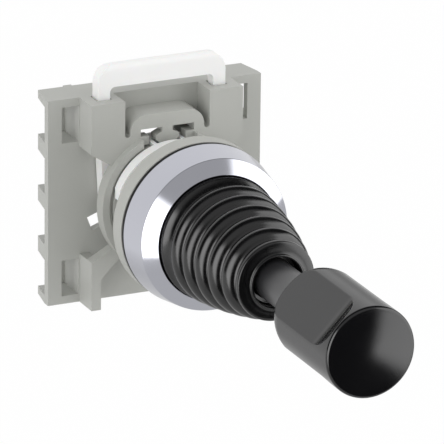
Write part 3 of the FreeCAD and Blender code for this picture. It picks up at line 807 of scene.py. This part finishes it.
@dataclass
class Studio:
    """Camera, pale floor, and the world with its softboxes and dark card.

    A ramp is two values of a heading's part, or for the floor of the distance along floor_away, between
    which the light goes from one level to the other.
    """

    azimuth: float = -24.845
    elevation: float = 19.767
    roll: float = 0.660
    distance_mm: float = 1026.3
    focal_px: float = 5808.0
    frame_px: float = 444.0
    offset_right_mm: float = 3.669
    offset_up_mm: float = 0.4656
    centre_y_mm: float = -4.6
    floor_z: float = -0.30
    floor_front: float = -0.28
    floor_half: float = 3.0
    floor_away: tuple[float, float, float] = (-1.2, 0.3, 0.0)
    floor_ramp: tuple[float, float] = (0.25, 0.6)
    floor_glow: float = 0.985
    back_level: float = 0.93
    front_high: float = 0.55
    front_low: float = 0.04
    front_plain: float = 0.65
    above_plain: float = 0.85
    fore_ramp: tuple[float, float] = (-0.35, -0.1)
    height_ramp: tuple[float, float] = (0.15, 0.5)
    wall_plain_ramp: tuple[float, float] = (-0.25, 0.2)
    wall_mirror_ramp: tuple[float, float] = (0.45, 0.68)
    softboxes: tuple[Softbox, ...] = (
        Softbox((0.10, 0.99, -0.02), 0.50, 0.25, 0.01, 0.0, roll_deg=0.0, fade=0.28, flag=True),
        Softbox((-0.90, -0.44, -0.02), 0.40, 0.62, 3.6, 2.2, fade=0.34),
        Softbox((0.912, -0.427, 0.064), 0.66, 0.775, 2.4, 1.9, fade=0.2),
    )

    def camera(self) -> None:
        """Places the camera on its line of sight, and turns it by its roll about that line."""
        a, e, r = (math.radians(v) for v in (self.azimuth, self.elevation, self.roll))
        back = Vector((math.sin(a) * math.cos(e), -math.cos(a) * math.cos(e), math.sin(e)))
        right = Vector((math.cos(a), math.sin(a), 0.0))
        up = back.cross(right)
        right, up = right * math.cos(r) + up * math.sin(r), up * math.cos(r) - right * math.sin(r)
        data = bpy.data.cameras.new("photo_camera")
        data.sensor_width = 36.0
        data.lens = self.focal_px * data.sensor_width / self.frame_px
        data.clip_start, data.clip_end = 0.05, 20.0
        camera = bpy.data.objects.new("photo_camera", data)
        place = (back * self.distance_mm + right * self.offset_right_mm + up * self.offset_up_mm
                 + Vector((0, self.centre_y_mm, 0))) * MM
        turn = Matrix((right, up, back)).transposed().to_4x4()
        camera.matrix_world = Matrix.Translation(place) @ turn
        bpy.context.scene.collection.objects.link(camera)
        bpy.context.scene.camera = camera

    def floor(self) -> None:
        """Pale floor, well below the part, that shows near white to the camera and keeps a faint shadow."""
        half = self.floor_half
        points = np.array([(-half, self.floor_front, self.floor_z), (half, self.floor_front, self.floor_z),
                           (half, half, self.floor_z), (-half, half, self.floor_z)])
        plane = write_mesh("studio_floor", points, [np.array([[0, 1, 2, 3]])])
        made = bpy.data.materials.new("pale_floor")
        made.use_nodes = True
        tree = made.node_tree
        tree.nodes.clear()
        matt = add_node(tree, "ShaderNodeBsdfDiffuse", {"Color": linear("DADADA")})
        glow = add_node(tree, "ShaderNodeEmission", {"Color": (1, 1, 1, 1), "Strength": 1.0})
        path = add_node(tree, "ShaderNodeLightPath", {})
        spot = add_node(tree, "ShaderNodeTexCoord", {}).outputs["Object"]
        away = add_node(tree, "ShaderNodeVectorMath", {
            "operation": "DOT_PRODUCT", 1: self.floor_away}, {0: spot})
        far = add_node(tree, "ShaderNodeMapRange", {
            "From Min": self.floor_ramp[0], "From Max": self.floor_ramp[1]}, {"Value": away.outputs["Value"]})
        behind = add_node(tree, "ShaderNodeMath", {"operation": "MULTIPLY"}, {
            0: mirrored_rays(tree, path), 1: far.outputs["Result"]})
        seen = add_node(tree, "ShaderNodeMath", {"operation": "MAXIMUM"}, {
            0: path.outputs["Is Camera Ray"], 1: behind.outputs[0]})
        share = add_node(tree, "ShaderNodeMath", {"operation": "MULTIPLY", 1: self.floor_glow}, {
            0: seen.outputs[0]})
        mix = add_node(tree, "ShaderNodeMixShader", {}, {
            0: share.outputs[0], 1: matt.outputs[0], 2: glow.outputs[0]})
        add_node(tree, "ShaderNodeOutputMaterial", {}, {"Surface": mix.outputs[0]})
        plane.data.materials.append(made)

    def world(self) -> None:
        """Pale wall behind the part, a dim upper front, a dark room before it, two softboxes and a dark card.

        The camera sees white. Diffuse rays see the room at levels of its own, which light matt plastic
        plainly, and they don't see the card.
        """
        made = bpy.data.worlds.new("studio_world")
        bpy.context.scene.world = made
        made.use_nodes = True
        tree = made.node_tree
        tree.nodes.clear()
        path = add_node(tree, "ShaderNodeLightPath", {})
        heading = add_node(tree, "ShaderNodeTexCoord", {}).outputs["Generated"]
        parts = add_node(tree, "ShaderNodeSeparateXYZ", {}, {"Vector": heading})
        mirror = mirrored_rays(tree, path)
        low = add_node(tree, "ShaderNodeMapRange", {"To Min": self.front_plain, "To Max": self.front_low}, {
            "Value": mirror})
        fore = add_node(tree, "ShaderNodeMapRange", {
            "interpolation_type": "SMOOTHSTEP", "From Min": self.fore_ramp[0], "From Max": self.fore_ramp[1],
            "To Min": self.front_high, "To Max": self.front_low}, {"Value": parts.outputs["Y"]})
        high = add_node(tree, "ShaderNodeMix", {"data_type": "FLOAT", 2: self.above_plain}, {
            0: mirror, 3: fore.outputs["Result"]})
        front = add_node(tree, "ShaderNodeMapRange", {
            "interpolation_type": "SMOOTHSTEP", "From Min": self.height_ramp[0],
            "From Max": self.height_ramp[1]}, {
            "Value": parts.outputs["Z"], "To Min": low.outputs["Result"], "To Max": high.outputs[0]})
        start, end = (add_node(tree, "ShaderNodeMapRange", {"To Min": plain, "To Max": mirrored}, {
            "Value": mirror}) for plain, mirrored in zip(self.wall_plain_ramp, self.wall_mirror_ramp))
        behind = add_node(tree, "ShaderNodeMapRange", {"interpolation_type": "SMOOTHSTEP"}, {
            "Value": parts.outputs["Y"], "From Min": start.outputs["Result"],
            "From Max": end.outputs["Result"]})
        wall = add_node(tree, "ShaderNodeMapRange", {"To Min": self.back_level, "To Max": 1.0}, {
            "Value": mirror})
        room = add_node(tree, "ShaderNodeMix", {"data_type": "FLOAT"}, {
            0: behind.outputs["Result"], 2: front.outputs["Result"], 3: wall.outputs["Result"]}).outputs[0]
        for softbox in self.softboxes:
            room = softbox.light(tree, heading, room, mirror)
        white = add_node(tree, "ShaderNodeMix", {"data_type": "FLOAT", 3: 1.0}, {
            0: path.outputs["Is Camera Ray"], 2: room})
        back = add_node(tree, "ShaderNodeBackground", {"Color": (1.0, 1.0, 1.0, 1.0)}, {
            "Strength": white.outputs[0]})
        add_node(tree, "ShaderNodeOutputWorld", {}, {"Surface": back.outputs[0]})

    def build(self) -> None:
        """Sets up the stage."""
        self.camera()
        self.floor()
        self.world()
        bpy.context.scene.view_settings.view_transform = "Standard"


def main() -> None:
    """Builds the sub-assemblies in order, then the studio."""
    logging.basicConfig(level=logging.INFO, format="%(name)s %(message)s")
    for part in (PanelOperator(), RibbedBoot(), GripLever(), ClipHolder(), InnerWorks(), Studio()):
        LOG.info("building %s", type(part).__name__)
        part.build()


if __name__ == "__main__":
    main()
